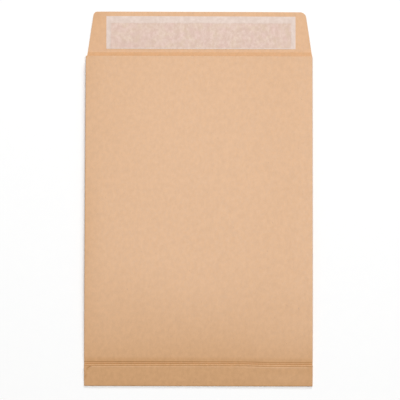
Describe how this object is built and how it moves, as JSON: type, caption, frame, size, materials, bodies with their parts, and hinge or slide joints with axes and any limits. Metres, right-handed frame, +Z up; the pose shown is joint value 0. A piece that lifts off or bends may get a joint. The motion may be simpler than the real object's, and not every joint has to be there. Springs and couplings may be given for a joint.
{
  "type": "gusseted paper envelope",
  "caption": "Tall kraft paper pocket envelope with side gussets and a folded block bottom, lying with its flap open and the release liner still on its closing strip.",
  "frame": {"origin": "on the floor under the middle of the whole length, flap included", "axes": "+X across the envelope, +Y from the folded base towards the tip of the open flap, +Z up out of the back panel"},
  "size_m": [0.229, 0.378, 0.006],
  "materials": {
    "kraft_paper": "matte",
    "adhesive": "satin",
    "release_paper": "satin"
  },
  "bodies": {
    "root": {"kraft_sheet": "kraft_paper", "adhesive_strip": "adhesive", "release_liner": "release_paper"}
  },
  "joints": []
}
